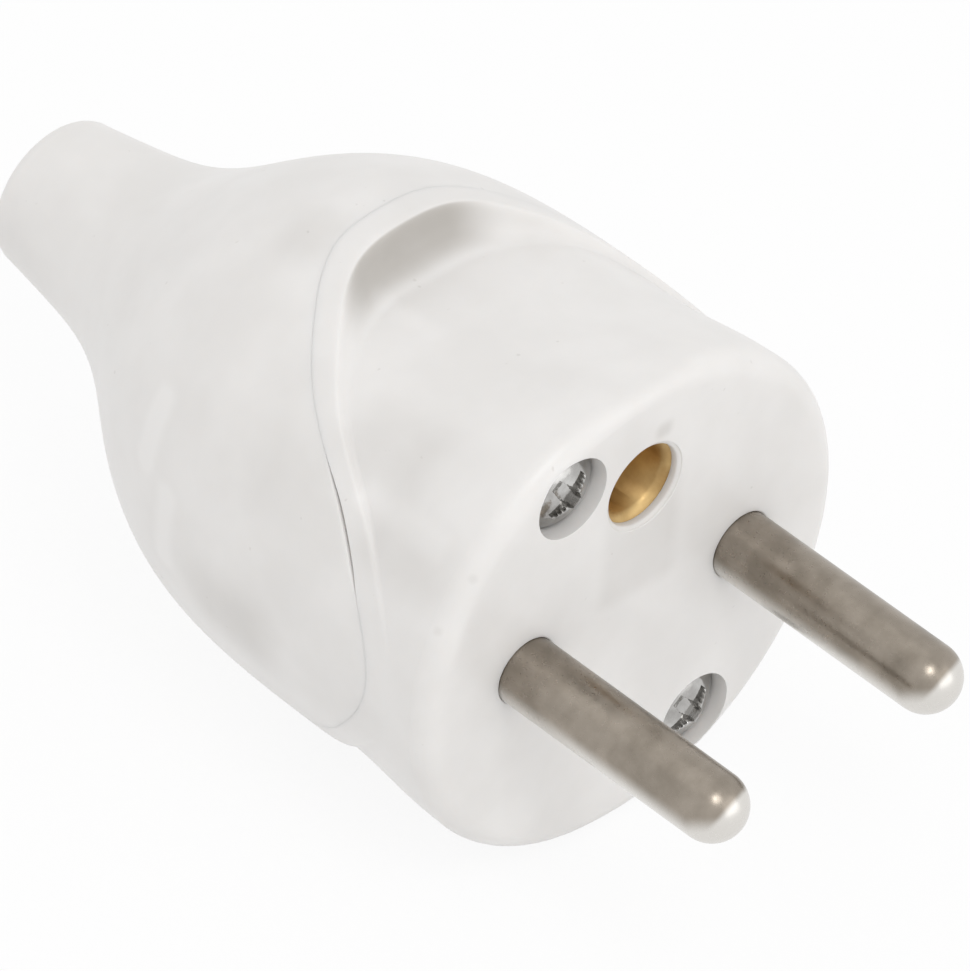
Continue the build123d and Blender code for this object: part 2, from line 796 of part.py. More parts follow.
# Lamp leads: from the board up and out to the back of each pin head
lamp_leads = {}
lead_pad = board_width / 2 - lead_radius - fit_gap
lead_x = -board_front_depth - lead_radius - lead_setback
lead_z = -pin_head_size / 2 + lead_seat_inset + lead_radius
lead_y = pin_y - lead_seat_inset
for name, side in (("live", -1), ("neutral", 1)):
    foot = (lead_x, side * lead_pad, board_top)
    rise = (lead_x, side * lead_pad, lead_z)
    turn = (lead_x, side * lead_y, lead_z)
    end = (-pin_head_end_depth, side * lead_y, lead_z)
    with BuildPart() as lead:
        with BuildLine() as route:
            FilletPolyline(
                foot, rise, turn, end, radius=lead_bend_share * abs(lead_x + pin_head_end_depth)
            )
        with BuildSketch(Plane(route.line @ 0, z_dir=route.line % 0)):
            Circle(lead_radius)
        sweep(path=route.line)
    lead.part.label = f"{name}_lamp_lead"
    lamp_leads[name] = lead.part

pieces = [
    rear_cover.part, front_base.part, *pins.values(), earth_sleeve.part, earth_ring.part,
    earth_strap.part, earth_block.part, *terminal_screws.values(), carrier.part,
    carrier_screw.part, *closing_screws.values(), clamp_bar.part, *clamp_screws.values(),
    lamp_board.part, led.part, resistor.part, diode.part, *lamp_leads.values(),
]
for piece in pieces:
    export_step(piece, f"parts/{piece.label}.step")
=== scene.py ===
import bmesh
import bpy
import numpy as np
from mathutils import Matrix, Vector
from mathutils.geometry import delaunay_2d_cdt


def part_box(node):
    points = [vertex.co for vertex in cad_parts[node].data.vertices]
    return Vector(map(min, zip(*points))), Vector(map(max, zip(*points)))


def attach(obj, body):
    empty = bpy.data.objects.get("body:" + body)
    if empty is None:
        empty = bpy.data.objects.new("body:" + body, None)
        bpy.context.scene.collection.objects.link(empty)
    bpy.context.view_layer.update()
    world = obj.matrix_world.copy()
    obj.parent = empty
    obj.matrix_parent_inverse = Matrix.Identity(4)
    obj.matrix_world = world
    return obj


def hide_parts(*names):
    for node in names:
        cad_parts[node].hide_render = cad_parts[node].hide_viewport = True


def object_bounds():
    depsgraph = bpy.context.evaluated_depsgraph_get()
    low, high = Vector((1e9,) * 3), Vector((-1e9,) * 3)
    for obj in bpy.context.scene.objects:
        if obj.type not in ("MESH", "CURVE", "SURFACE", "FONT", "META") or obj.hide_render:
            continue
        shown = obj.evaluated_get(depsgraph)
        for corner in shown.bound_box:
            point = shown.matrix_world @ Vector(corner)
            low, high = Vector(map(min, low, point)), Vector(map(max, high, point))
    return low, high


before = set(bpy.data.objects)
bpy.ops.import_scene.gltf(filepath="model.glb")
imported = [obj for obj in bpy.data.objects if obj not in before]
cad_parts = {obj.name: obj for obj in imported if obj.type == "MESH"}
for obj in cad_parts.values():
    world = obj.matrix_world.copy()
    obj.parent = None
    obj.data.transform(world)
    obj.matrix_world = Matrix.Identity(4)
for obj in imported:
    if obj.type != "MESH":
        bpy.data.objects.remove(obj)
cad_low, cad_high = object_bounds()

# Camera
# The photograph looks down on the face and the near flank through a long lens, about a metre away.
# Lengths in this file are in millimetres, and turn into metres where a mesh or a place is made.
metre = 1000.0
photo_height = 971
pixels_per_mm = 15.84
camera_distance = 1060.0
camera_sensor = 36.0
camera_near, camera_far = 0.01, 20.0
camera_back = Vector((0.5180, -0.5603, 0.6463)).normalized()
camera_up = Vector((-0.4992, 0.4156, 0.7603))
camera_target = Vector((-10.38, -3.55, 5.24))

camera_right = camera_up.cross(camera_back).normalized()
camera_turn = Matrix((camera_right, camera_back.cross(camera_right), camera_back)).transposed()
camera = bpy.data.objects.new("camera", bpy.data.cameras.new("camera"))
bpy.context.scene.collection.objects.link(camera)
camera.data.sensor_width = camera_sensor
camera.data.lens = camera_sensor * camera_distance * pixels_per_mm / photo_height
camera.data.clip_start, camera.data.clip_end = camera_near, camera_far
camera_place = (camera_target + camera_back * camera_distance) / metre
camera.matrix_world = Matrix.Translation(camera_place) @ camera_turn.to_4x4()
bpy.context.scene.camera = camera
bpy.context.scene.view_settings.view_transform = "Standard"

# Outside of the body
# The moulded housing is a body of revolution about X: a round rim, a slow taper, a bell-shaped
# shoulder and a narrow neck. A wavy ridge runs round it, far back above and below, far forward at
# the sides. In front of it lie two finger recesses, and a flank a little lower than the band.
rim_radius = 18.25
rim_rounding = 1.6
barrel_radius = 17.6
shoulder_depth = 22.0
neck_radius = 5.4
neck_rounding = 1.2
neck_end = 54.2
shoulder_shares = np.array([0.0, 0.233, 0.433, 0.567, 0.70, 0.867, 1.0])
shoulder_bulge = np.array([1.0, 0.88, 0.61, 0.355, 0.165, 0.055, 0.0])
shoulder_run = neck_end - neck_rounding - shoulder_depth
taper_middle = (rim_rounding + shoulder_depth) / 2
profile_depths = np.r_[rim_rounding, taper_middle, shoulder_depth + shoulder_shares * shoulder_run]
profile_radii = np.r_[
    rim_radius, (rim_radius + barrel_radius) / 2,
    neck_radius + shoulder_bulge * (barrel_radius - neck_radius),
]
ridge_angles = (0, 18, 32, 44, 58, 74, 90)
ridge_depths = (3.2, 5.7, 9.6, 14.3, 18.3, 21.5, 22.0)
floor_depths = (-2.0, 11.0, 22.0, 24.0)
floor_heights = (17.95, 16.36, 14.6, 14.6)
floor_least_sine = 0.2
step_drop = 0.35
step_start = 3.0
step_run = 7.0
crease_at_rim = 0.5
crease_at_lip = 2.2
crease_run = 12.0
lip_rounding = 0.06
lip_run = 0.35
lip_run_per_drop = 0.7
band_width = 2.5
body_wall = 1.8
face_wall = 3.6
weld_distance = 2e-7
sharp_angle = 40.0


def smooth_through(stations, values, at):
    """Natural cubic spline: a cubic between each two stations, with even bending across them."""
    x, y = np.asarray(stations, float), np.asarray(values, float)
    gap = np.diff(x)
    system = np.diag(np.r_[1, 2 * (gap[:-1] + gap[1:]), 1])
    system += np.diag(np.r_[0, gap[1:]], 1) + np.diag(np.r_[gap[:-1], 0], -1)
    bend = np.linalg.solve(system, np.r_[0, 6 * np.diff(np.diff(y) / gap), 0])
    i = np.clip(np.searchsorted(x, at) - 1, 0, len(gap) - 1)
    a, b = (x[i + 1] - at) / gap[i], (at - x[i]) / gap[i]
    sag = ((a**3 - a) * bend[i] + (b**3 - b) * bend[i + 1]) * gap[i] ** 2 / 6
    return a * y[i] + b * y[i + 1] + sag


def smooth_step(value):
    """0 below 0, 1 above 1, and a level start and end in between."""
    share = np.clip(value, 0, 1)
    return share * share * (3 - 2 * share)


def body_radius(depth):
    """Quarter circle at the rim, then one spline over the taper, the shoulder and the neck."""
    fall = np.clip(rim_rounding - depth, 0, rim_rounding)
    rounded = rim_radius - rim_rounding + np.sqrt(rim_rounding**2 - fall**2)
    swept = smooth_through(profile_depths, profile_radii, depth)
    return np.where(depth < rim_rounding, rounded, swept)


def ridge_depth(angle):
    """One spline in the angle from the side, mirrored so that the four quarters are alike."""
    side = np.degrees(np.arccos(np.clip(np.abs(np.cos(angle)), 0, 1)))
    angles, depths = np.array(ridge_angles), np.array(ridge_depths)
    stations = np.r_[-angles[3:0:-1], angles, 180 - angles[-2:-5:-1]]
    return smooth_through(stations, np.r_[depths[3:0:-1], depths, depths[-2:-5:-1]], side)


def front_radius(angle, depth):
    """The lowered flank, or the flat recess floor where that is lower, and a rounded crease."""
    flank = body_radius(depth) - step_drop * smooth_step((depth - step_start) / step_run)
    upward = np.maximum(np.abs(np.sin(angle)), floor_least_sine)
    floor = smooth_through(floor_depths, floor_heights, depth) / upward
    softness = crease_at_rim + (crease_at_lip - crease_at_rim) * smooth_step(depth / crease_run)
    return (flank + floor - np.sqrt((flank - floor) ** 2 + softness**2)) / 2


def outside_radius(angle, depth):
    """Body behind the ridge; in front a wall, a quarter ellipse upright at the lip, then level."""
    body, front = body_radius(depth), front_radius(angle, depth)
    ahead = lip_rounding * np.logaddexp(0, (ridge_depth(angle) - depth) / lip_rounding)
    run = lip_run + lip_run_per_drop * np.maximum(body - front, 0)
    left = np.clip(1 - ahead / run, 0, 1)
    return front + (body - front) * (1 - np.sqrt(1 - left**2))


def round_rings(depth, radius, angle, centre=(0.0, 0.0)):
    """Rings about X: depth runs back along -X, and radius turns about centre in the YZ plane."""
    depth, radius, angle = np.broadcast_arrays(depth, radius, angle)
    y, z = centre[0] + radius * np.cos(angle), centre[1] + radius * np.sin(angle)
    return np.stack([-depth, y, z], axis=-1)


def make_piece(name, grids, sheets=(), cutter=None):
    """Closed ring grids and triangle sheets, welded where they meet, less the cutter's rings."""
    mesh = make_mesh(name, grids, sheets)
    piece = bpy.data.objects.new(name, mesh)
    bpy.context.scene.collection.objects.link(piece)
    if cutter:
        tool = bpy.data.objects.new("cutter", make_mesh("cutter", cutter))
        bpy.context.scene.collection.objects.link(tool)
        cut = piece.modifiers.new("cut", "BOOLEAN")
        cut.operation, cut.solver, cut.object = "DIFFERENCE", "EXACT", tool
        bpy.context.view_layer.update()
        seen = piece.evaluated_get(bpy.context.evaluated_depsgraph_get())
        mesh = bpy.data.meshes.new_from_object(seen)
        piece.modifiers.clear()
        piece.data = mesh
        bpy.data.objects.remove(tool)
    mesh.shade_smooth()
    mesh.set_sharp_from_angle(angle=np.radians(sharp_angle))
    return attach(piece, "root")


def make_mesh(name, grids, sheets=()):
    """Mesh of closed ring grids and triangle sheets, welded where they meet, facing outwards."""
    points, faces, start = [], [], 0
    for grid in grids:
        rows, columns = grid.shape[:2]
        first = start + np.arange(rows - 1)[:, None] * columns + np.arange(columns)
        after = start + np.arange(rows - 1)[:, None] * columns + (np.arange(columns) + 1) % columns
        quads = np.stack([first, after, after + columns, first + columns], axis=-1).reshape(-1, 4)
        points.append(grid.reshape(-1, 3))
        faces.extend(quads.tolist())
        start += rows * columns
    for corners, triangles in sheets:
        points.append(corners)
        faces.extend((triangles + start).tolist())
        start += len(corners)
    mesh = bpy.data.meshes.new(name)
    mesh.from_pydata((np.concatenate(points) / metre).tolist(), [], faces)
    work = bmesh.new()
    work.from_mesh(mesh)
    bmesh.ops.remove_doubles(work, verts=work.verts, dist=weld_distance)
    bmesh.ops.recalc_face_normals(work, faces=work.faces)
    work.to_mesh(mesh)
    work.free()
    return mesh


# Parting line
# The two mouldings meet along a scarf, one band behind the ridge. They close tightly, apart from
# two opposite slopes where the ridge turns forward: there the joint stands open as a dark slit.
body_columns = 480
body_angle = np.linspace(0, 2 * np.pi, body_columns, endpoint=False)
gap_closed = 0.0015
gap_open = 0.1
edge_closed = 0.003
edge_open = 0.28
gap_middle = 27.0
gap_spread = 9.0
slope_side = np.degrees(np.arccos(np.abs(np.cos(body_angle))))
opening = np.exp(-(((slope_side - gap_middle) / gap_spread) ** 4))
opening *= np.sin(2 * body_angle) < 0
half_gap = gap_closed + (gap_open - gap_closed) * opening
edge_rounding = edge_closed + (edge_open - edge_closed) * opening
parting = ridge_depth(body_angle) + band_width
quarter_turn = np.linspace(0, np.pi / 2, 6)[:, None]


def across(start, end, rows):
    """Rows spread evenly from start to end, without start itself."""
    share = np.linspace(0, 1, rows + 1)[1:, None]
    return start + (end - start) * share


# Front base
# The moulding that faces the socket: a flat face with five holes, a rounded rim, the two finger
# recesses and the band. A skirt behind the band laps inside the rear cover.
lap_length = 2.0
lap_wall = 1.2
lap_gap = 0.12
recess_wall = 1.5
wall_zone = 3.8
ridge_zone = 0.8
hold = 0.12
flank_rows, wall_rows, lip_rows, band_rows = 48, 24, 22, 12
step_rows, lap_rows, skirt_rows = 2, 3, 30

rim_turn = np.linspace(0, np.pi / 2, 11)[:, None]
rim_depths = rim_rounding * (1 - np.cos(rim_turn))
ridge_line = ridge_depth(body_angle)
band_end = parting - half_gap - edge_rounding
wall_start = np.maximum(ridge_line - wall_zone, ridge_line / 2)
outer_depths = np.concatenate([
    rim_depths + 0 * body_angle,
    across(rim_rounding, wall_start, flank_rows),
    across(wall_start, ridge_line - ridge_zone, wall_rows),
    across(ridge_line - ridge_zone, ridge_line + ridge_zone / 2, lip_rows),
    across(ridge_line + ridge_zone / 2, band_end, band_rows),
])
outer_rings = round_rings(outer_depths, outside_radius(body_angle, outer_depths), body_angle)
holding_ring = round_rings(0.0, rim_radius - rim_rounding - hold, body_angle)[None]

edge_depths = band_end + edge_rounding * np.sin(quarter_turn)
edge_rings = round_rings(
    edge_depths, body_radius(edge_depths) - edge_rounding * (1 - np.cos(quarter_turn)), body_angle
)
skirt_depths = np.concatenate([
    across(parting - half_gap, parting - half_gap, step_rows),
    across(parting - half_gap, parting + lap_length, lap_rows),
    across(parting + lap_length, parting + lap_length, 1),
    across(parting + lap_length, face_wall + 0 * parting, skirt_rows),
])
skirt_outer = body_radius(skirt_depths) - body_wall - lap_gap
skirt_inner = np.minimum(
    skirt_outer - lap_wall, outside_radius(body_angle, skirt_depths - recess_wall) - recess_wall
)
skirt_row = np.arange(len(skirt_depths))[:, None]
skirt_radii = np.where(skirt_row < step_rows + lap_rows, skirt_outer, skirt_inner)
skirt_radii[0] = body_radius(skirt_depths[0]) - edge_rounding - body_wall / 2
skirt_rings = round_rings(skirt_depths, skirt_radii, body_angle)
shell_rings = np.concatenate([holding_ring, outer_rings, edge_rings[1:], skirt_rings])

# Holes of the face: (y, z) of the centre, and (depth, radius) of each ring from front to back
pin_y = 9.5
earth_z = 10.0
closing_y, closing_z = -6.6, 12.6
hole_edge = 0.1
pin_hole = 2.41
collar_hole = 2.65
collar_depth = 0.15
earth_mouth = 3.0
earth_chamfer = 0.3
sleeve_hole = 3.35
sleeve_front = 0.7
counterbore = 2.95
counterbore_depth = 1.85
screw_hole = 1.55
overshoot = 1.0
same_spot = 1e-6
hole_columns = 96
hole_angle = np.linspace(0, 2 * np.pi, hole_columns, endpoint=False)
edge_turn = np.linspace(0, np.pi / 2, 5)


def hole_profile(radius, *steps):
    """Holding ring, rounded mouth of the hole, its steps, and the rear of the face."""
    mouth = [(hole_edge * (1 - np.cos(t)), radius + hole_edge * (1 - np.sin(t))) for t in edge_turn]
    return [(0.0, radius + 2 * hole_edge), *mouth, *steps]


collar_steps = [(collar_depth, pin_hole), (collar_depth, collar_hole), (face_wall, collar_hole)]
holes = [
    (-pin_y, 0.0, hole_profile(pin_hole, *collar_steps)),
    (pin_y, 0.0, hole_profile(pin_hole, *collar_steps)),
    (0.0, earth_z, hole_profile(
        earth_mouth + earth_chamfer - hole_edge / 2,
        (earth_chamfer - hole_edge, earth_mouth + hole_edge / 2), (earth_chamfer, earth_mouth),
        (sleeve_front, earth_mouth), (sleeve_front, sleeve_hole), (face_wall, sleeve_hole),
    )),
]

# The two counterbores run a little into the rounded rim, so they are cut out of the finished shell
cutter_profile = np.array([
    (-overshoot, 0.0), (-overshoot, counterbore), (counterbore_depth, counterbore),
    (counterbore_depth, screw_hole), (face_wall + overshoot, screw_hole),
    (face_wall + overshoot, 0.0),
])
closing_holes = [
    round_rings(*cutter_profile.T[:, :, None], hole_angle, (side * closing_y, side * closing_z))
    for side in (1, -1)
]


def face_sheet(depth, outline, rings):
    """Flat triangles at one depth, inside the outline and outside each ring (Delaunay)."""
    loops = [outline, *rings]
    corners = np.concatenate(loops)
    starts = np.cumsum([0, *map(len, loops)])
    edges = [
        (s + i, s + (i + 1) % (e - s)) for s, e in zip(starts, starts[1:]) for i in range(e - s)
    ]
    flat = [Vector(p) for p in corners[:, 1:].tolist()]
    found = delaunay_2d_cdt(flat, edges, [], 1, same_spot)
    spots, triangles = np.array([v[:] for v in found[0]]), np.array(found[2])
    middle = spots[triangles].mean(axis=1)
    keep = np.ones(len(triangles), bool)
    for ring in rings:
        centre = ring[:, 1:].mean(axis=0)
        reach = np.linalg.norm(ring[0, 1:] - centre)
        keep &= np.linalg.norm(middle - centre, axis=1) > reach * np.cos(np.pi / len(ring))
    return np.c_[np.full(len(spots), -depth), spots], triangles[keep]


hole_grids = [
    round_rings(*np.array(profile).T[:, :, None], hole_angle, (y, z)) for y, z, profile in holes
]
front_sheet = face_sheet(0.0, shell_rings[0], [grid[0] for grid in hole_grids])
back_sheet = face_sheet(face_wall, shell_rings[-1], [grid[-1] for grid in hole_grids])
front_base = make_piece(
    "front_base_shell", [shell_rings, *hole_grids], [front_sheet, back_sheet], cutter=closing_holes
)
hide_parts("front_base")

# Rear cover
# The hood with the neck on it, moulded in one piece. Its wall is even, and its rounded neck end
# is open for the cord.
cord_bore = 3.6
cord_bore_depth = neck_end - 10.0
bore_edge = 0.15
hollow_run = 8.0
slope_step = 0.1
hood_rows, bore_rows, hollow_rows = 120, 6, 50

cover_start = parting + half_gap
backward_turn = quarter_turn[::-1]
cover_edge_depths = cover_start + edge_rounding * (1 - np.sin(backward_turn))
cover_edge = round_rings(
    cover_edge_depths, body_radius(cover_edge_depths) - edge_rounding * (1 - np.cos(backward_turn)),
    body_angle,
)
hood_depths = across(
    cover_start + edge_rounding, neck_end - neck_rounding + 0 * parting, hood_rows
)
hood = round_rings(hood_depths, body_radius(hood_depths), body_angle)
neck_turn = np.linspace(0, np.pi / 2, 9)[1:]
neck_profile = [
    (neck_end - neck_rounding * (1 - np.sin(t)), neck_radius - neck_rounding * (1 - np.cos(t)))
    for t in neck_turn
]
neck_profile += [
    (neck_end - bore_edge * (1 - np.cos(t)), cord_bore + bore_edge * (1 - np.sin(t)))
    for t in edge_turn
]
neck = round_rings(*np.array(neck_profile).T[:, :, None], body_angle)
bore = round_rings(across(neck_end - bore_edge, cord_bore_depth, bore_rows), cord_bore, body_angle)
hollow_depths = across(cord_bore_depth + 0 * parting, cover_start, hollow_rows)
hollow_rise = body_radius(hollow_depths + slope_step) - body_radius(hollow_depths - slope_step)
hollow_slope = hollow_rise / (2 * slope_step)
hollow_radii = body_radius(hollow_depths) - body_wall * np.hypot(1, hollow_slope)
hollow_share = smooth_step((cord_bore_depth - hollow_depths) / hollow_run)
hollow = round_rings(
    hollow_depths, cord_bore + (hollow_radii - cord_bore) * hollow_share, body_angle
)
rear_cover = make_piece(
    "rear_cover_shell", [np.concatenate([cover_edge, hood, neck, bore, hollow, cover_edge[:1]])]
)
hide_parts("rear_cover")

# Milky plastic
# Both mouldings are a milky, slightly translucent polypropylene with a satin gloss. Light passes
# a little way into it. The shades of the metal behind the face and of thick places, and a few
# highlights, are painted into its colour as soft patches.
milk_light = "#EBE9E7"
milk_dark = "#A9A49D"
cloud_size = 6.0
cloud_detail = 3.0
cloud_from, cloud_to = 0.35, 0.65
cloud_base = 0.05
cloud_depth = 0.09
speck_size = 0.7
speck_detail = 1.0
speck_from, speck_to = 0.77, 0.82
speck_depth = 0.2
forward_from, forward_to = 0.15, 0.85
plastic_roughness = 0.35
plastic_ior = 1.49
plastic_glow = 0.3
plastic_glow_depth = 0.8
plastic_glow_reach = (1.0, 0.92, 0.85)


def colour(code):
    """Linear colour of an sRGB hex code."""
    srgb = np.array([int(code[i:i + 2], 16) for i in (1, 3, 5)]) / 255
    linear = np.where(srgb <= 0.04045, srgb / 12.92, ((srgb + 0.055) / 1.055) ** 2.4)
    return (*linear.tolist(), 1.0)


def add_node(tree, kind, inputs, **settings):
    """Adds a node with its settings, and fills its inputs with values or other nodes' outputs."""
    node = tree.nodes.new("ShaderNode" + kind)
    for name, value in settings.items():
        setattr(node, name, value)
    for name, value in inputs.items():
        if isinstance(value, bpy.types.NodeSocket):
            tree.links.new(value, node.inputs[name])
        else:
            node.inputs[name].default_value = value
    return node


def new_material(name):
    """Empty material, its node tree, and each point's place in metres and normal on the piece."""
    material = bpy.data.materials.new(name)
    material.use_nodes = True
    tree = material.node_tree
    tree.nodes.clear()
    point = add_node(tree, "TexCoord", {})
    return material, tree, point.outputs["Object"], point.outputs["Normal"]


def soft_patch(tree, place, middle, half_size, softness):
    """1 inside a box round middle, falling to 0 over softness beyond it; all in millimetres."""
    offset = add_node(tree, "VectorMath", {
        0: place, 1: Vector(middle) / metre,
    }, operation="SUBTRACT")
    size = add_node(tree, "VectorMath", {0: offset.outputs[0]}, operation="ABSOLUTE")
    beyond = add_node(tree, "VectorMath", {
        0: size.outputs[0], 1: Vector(half_size) / metre,
    }, operation="SUBTRACT")
    outside = add_node(tree, "VectorMath", {
        0: beyond.outputs[0], 1: (0, 0, 0),
    }, operation="MAXIMUM")
    away = add_node(tree, "VectorMath", {0: outside.outputs[0]}, operation="LENGTH")
    return add_node(tree, "MapRange", {
        "Value": away.outputs["Value"], "From Max": softness / metre, "To Min": 1.0, "To Max": 0.0,
    }, interpolation_type="SMOOTHSTEP").outputs[0]


def milky_plastic(name, patches, painted_wall_shades=()):
    """Milky plastic with painted patches of shade or light (middle, half size, softness, strength).

    The strength of a painted wall shade also goes with how squarely the surface faces the socket.
    """
    material, tree, place, normal = new_material(name)
    cloud = add_node(tree, "TexNoise", {
        "Vector": place, "Scale": metre / cloud_size, "Detail": cloud_detail,
    })
    shade = add_node(tree, "MapRange", {
        "Value": cloud.outputs["Fac"], "From Min": cloud_from, "From Max": cloud_to,
        "To Min": cloud_base, "To Max": cloud_base + cloud_depth,
    }).outputs[0]
    speck = add_node(tree, "TexNoise", {
        "Vector": place, "Scale": metre / speck_size, "Detail": speck_detail,
    })
    speck_share = add_node(tree, "MapRange", {
        "Value": speck.outputs["Fac"], "From Min": speck_from, "From Max": speck_to,
        "To Max": speck_depth,
    })
    shade = add_node(tree, "Math", {
        0: shade, 1: speck_share.outputs[0],
    }, operation="ADD").outputs[0]
    facing = add_node(tree, "SeparateXYZ", {0: normal})
    forward = add_node(tree, "MapRange", {
        "Value": facing.outputs["X"], "From Min": forward_from, "From Max": forward_to,
    }, interpolation_type="SMOOTHSTEP").outputs[0]
    # Each patch paints a soft box of shade or light; a wall shade only where the surface faces the
    # socket
    for walls, group in ((False, patches), (True, painted_wall_shades)):
        for middle, half_size, softness, strength in group:
            patch = soft_patch(tree, place, middle, half_size, softness)
            if walls:
                patch = add_node(tree, "Math", {
                    0: patch, 1: forward,
                }, operation="MULTIPLY").outputs[0]
            shade = add_node(tree, "Math", {
                0: patch, 1: strength, 2: shade,
            }, operation="MULTIPLY_ADD").outputs[0]
    tint = add_node(
        tree, "Mix", {0: shade, 6: colour(milk_light), 7: colour(milk_dark)}, data_type="RGBA"
    )
    shader = add_node(tree, "BsdfPrincipled", {
        "Base Color": tint.outputs[2], "Roughness": plastic_roughness, "IOR": plastic_ior,
        "Subsurface Weight": plastic_glow, "Subsurface Radius": plastic_glow_reach,
        "Subsurface Scale": plastic_glow_depth / metre,
    })
    add_node(tree, "OutputMaterial", {"Surface": shader.outputs[0]})
    return material


# Place and size of the painted shade of the strap behind the face
strap_low, strap_high = (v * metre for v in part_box("earth_strap"))
strap_shade_middle = (0.0, (strap_low.y + strap_high.y) / 2, (strap_low.z + earth_z) / 2)
strap_shade_half = (1.0, 2.4, (earth_z - strap_low.z) / 2 - 1)

# Painted shades and highlights: the shade of the strap behind the face, two darker fields with a
# lighter one between them on the flank, three small darker marks (one the shade of a small
# dimple), a highlight streak in the recess, and the shadow on the wall under its lip
front_base.data.materials.append(milky_plastic("milky_polypropylene_base", [
    (strap_shade_middle, strap_shade_half, 1.6, 0.15),
    ((-10.5, -11.9, 13.0), (1.6, 0.8, 0.5), 3.2, 0.14),
    ((-5.5, -15.4, 9.2), (2.2, 0.5, 0.5), 3.2, 0.14),
    ((-7.0, -14.6, 10.6), (3.5, 0.3, 0.3), 1.2, -0.08),
    ((-0.5, -14.6, 10.1), (0.05, 0.05, 0.05), 0.4, 0.12),
    ((-1.0, -16.9, 6.7), (0.05, 0.05, 0.05), 0.4, 0.12),
    ((0.0, 1.3, 14.0), (0.2, 0.2, 0.1), 0.9, 0.25),
    ((-17.6, -4.0, 14.7), (2.4, 0.1, 0.5), 1.2, -0.05),
], painted_wall_shades=[
    ((-20.6, -0.8, 16.2), (1.6, 3.8, 1.6), 4.0, 0.66),
]))

# Painted highlight streak along the hood, the reflection of a lamp, and three painted darker fields
# of shade
rear_cover.data.materials.append(milky_plastic("milky_polypropylene_cover", [
    ((-28.0, -15.6, 5.2), (0.1, 0.4, 2.2), 1.5, -0.14),
    ((-25.2, -17.1, -0.6), (0.1, 0.4, 2.4), 1.5, -0.14),
    ((-18.6, -17.5, -3.4), (1.6, 0.8, 0.6), 4.0, 0.2),
    ((-26.0, -4.5, 16.3), (0.6, 0.8, 0.4), 2.6, 0.12),
    ((-14.5, -15.6, 8.6), (3.0, 0.8, 1.5), 3.0, 0.08),
]))

# Pins
# Solid brass turned on a lathe and nickel plated, with ball ends. Each stands in the face on a
# short collar, and ends behind it in a flange and a square head for the wire.
pin_radius = 2.4
pin_length = 19.0
pin_collar = 2.6
pin_flange = 4.4
flange_back = 4.6
pin_head_half = 3.25
pin_head_end = 14.0
pin_head_chamfer = 0.5
wire_hole = 1.5
wire_hole_end = 7.0
pin_columns = 128
pin_angle = np.linspace(0, 2 * np.pi, pin_columns, endpoint=False)
square = 1 / np.maximum(np.abs(np.cos(pin_angle)), np.abs(np.sin(pin_angle)))

tip_turn = np.linspace(0, np.pi / 2, 17)
tip_profile = [
    (pin_radius - pin_length - pin_radius * np.cos(t), pin_radius * np.sin(t)) for t in tip_turn
]
shaft_profile = [
    *tip_profile, (collar_depth, pin_radius), (collar_depth, pin_collar), (face_wall, pin_collar),
    (face_wall, pin_flange), (flange_back, pin_flange),
]
head_profile = [
    (flange_back, pin_head_half), (pin_head_end - pin_head_chamfer, pin_head_half),
    (pin_head_end, pin_head_half - pin_head_chamfer),
]
hole_bottom = [(pin_head_end, wire_hole), (wire_hole_end, wire_hole), (wire_hole_end, 0.0)]


def pin_rings(centre):
    """Rings of one pin: round ones in front, square ones for the head, and the wire hole."""
    parts = []
    for profile, form in ((shaft_profile, 1.0), (head_profile, square), (hole_bottom, 1.0)):
        depth, radius = np.array(profile).T[:, :, None]
        parts.append(round_rings(depth, radius * form, pin_angle, centre))
    return np.concatenate(parts)


tarnish_size = 2.5
tarnish_detail = 5.0
tarnish_from, tarnish_to = 0.35, 0.75
metal_gloss_spread = 0.3
grain_detail = 3.0
grain_strength = 0.4


def metal(name, code, roughness, grain, grain_depth, tarnish, tarnish_share, painted_reflection=None, sides=()):
    """Bare or plated metal: clouds of tarnish, a fine grain in its gloss, and sides made paler by a
    painted reflection.

    Each side is a direction on the piece, and how squarely a face turns to it at start and end.
    """
    material, tree, place, normal = new_material(name)
    cloud = add_node(tree, "TexNoise", {
        "Vector": place, "Scale": metre / tarnish_size, "Detail": tarnish_detail,
    })
    amount = add_node(tree, "MapRange", {
        "Value": cloud.outputs["Fac"], "From Min": tarnish_from, "From Max": tarnish_to,
        "To Max": tarnish_share,
    })
    tint = add_node(
        tree, "Mix", {0: amount.outputs[0], 6: colour(code), 7: colour(tarnish)}, data_type="RGBA"
    )
    # Each side paints a paler reflection where a face turns towards it
    for direction, start, end in sides:
        facing = add_node(tree, "VectorMath", {0: normal, 1: direction}, operation="DOT_PRODUCT")
        share = add_node(tree, "MapRange", {
            "Value": facing.outputs["Value"], "From Min": start, "From Max": end,
        }, interpolation_type="SMOOTHSTEP")
        tint = add_node(tree, "Mix", {
            0: share.outputs[0], 6: tint.outputs[2], 7: colour(painted_reflection),
        }, data_type="RGBA")
    fine = add_node(tree, "TexNoise", {
        "Vector": place, "Scale": metre / grain, "Detail": grain_detail,
    })
    gloss = add_node(tree, "MapRange", {
        "Value": fine.outputs["Fac"], "To Min": roughness * (1 - metal_gloss_spread),
        "To Max": roughness * (1 + metal_gloss_spread),
    })
    bump = add_node(tree, "Bump", {
        "Height": fine.outputs["Fac"], "Strength": grain_strength, "Distance": grain_depth / metre,
    })
    shader = add_node(tree, "BsdfPrincipled", {
        "Base Color": tint.outputs[2], "Metallic": 1.0, "Roughness": gloss.outputs[0],
        "Normal": bump.outputs[0],
    })
    add_node(tree, "OutputMaterial", {"Surface": shader.outputs[0]})
    return material
